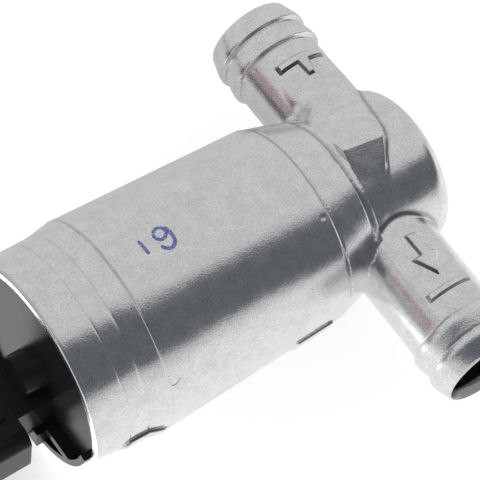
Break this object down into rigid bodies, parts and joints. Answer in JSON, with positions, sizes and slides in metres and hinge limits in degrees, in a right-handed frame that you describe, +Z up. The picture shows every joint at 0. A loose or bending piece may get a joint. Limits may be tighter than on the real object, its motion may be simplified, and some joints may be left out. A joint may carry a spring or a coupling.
{
  "type": "idle air control valve",
  "caption": "Rotary idle air valve: a die-cast body with two opposed barbed hose spigots, a turning slide driven by a brushed actuator, and a moulded cap with its plug socket.",
  "frame": {"origin": "middle of the clamp collar, on the main axis of the casting", "axes": "+X along the main axis, from the plug socket to the valve head; +Y along the far hose spigot; -Y along the near hose spigot; +Z up, away from the plug socket"},
  "size_m": [0.1253, 0.0964, 0.0498],
  "materials": {
    "cast_housing": "satin tumbled die casting",
    "black_plastic": "satin moulded",
    "seal_rubber": "plain",
    "terminal_brass": "tinned brass",
    "phenolic": "moulded",
    "graphite": "pressed",
    "steel": "bright",
    "bronze": "sintered",
    "pole_steel": "rolled",
    "magnet": "ferrite",
    "turned_aluminium": "machined",
    "core_steel": "laminated",
    "copper": "enamelled wire"
  },
  "bodies": {
    "stator": {"housing": "cast_housing", "end_cap": "black_plastic", "seal_ring": "seal_rubber", "terminal_1": "terminal_brass", "terminal_2": "terminal_brass", "terminal_3": "terminal_brass", "brush_plate": "phenolic", "brush_1": "graphite", "brush_2": "graphite", "brush_3": "graphite", "brush_spring_1": "steel", "brush_spring_2": "steel", "brush_spring_3": "steel", "brush_plate_screws": "steel", "rear_bush": "bronze", "thrust_washer": "steel", "pole_tube": "pole_steel", "magnet_a": "magnet", "magnet_b": "magnet", "bearing_plate": "turned_aluminium", "bearing_plate_screws": "steel", "bearing_outer_race": "steel", "bearing_balls": "steel", "bearing_cage": "bronze", "stop_pin_closed": "steel", "stop_pin_open": "steel"},
    "rotor": {"shaft": "steel", "bearing_inner_race": "steel", "armature_core": "core_steel", "winding_open": "copper", "winding_close": "copper", "commutator_hub": "phenolic", "commutator_segments": "copper", "spacer_sleeve": "steel", "circlip": "steel", "rotary_slide": "turned_aluminium"}
  },
  "joints": [
    {"name": "slide_turn", "type": "hinge", "parent": "stator", "child": "rotor", "pos_m": [0, 0, 0], "axis": [1, 0, 0], "range_deg": [-45, 45]}
  ]
}
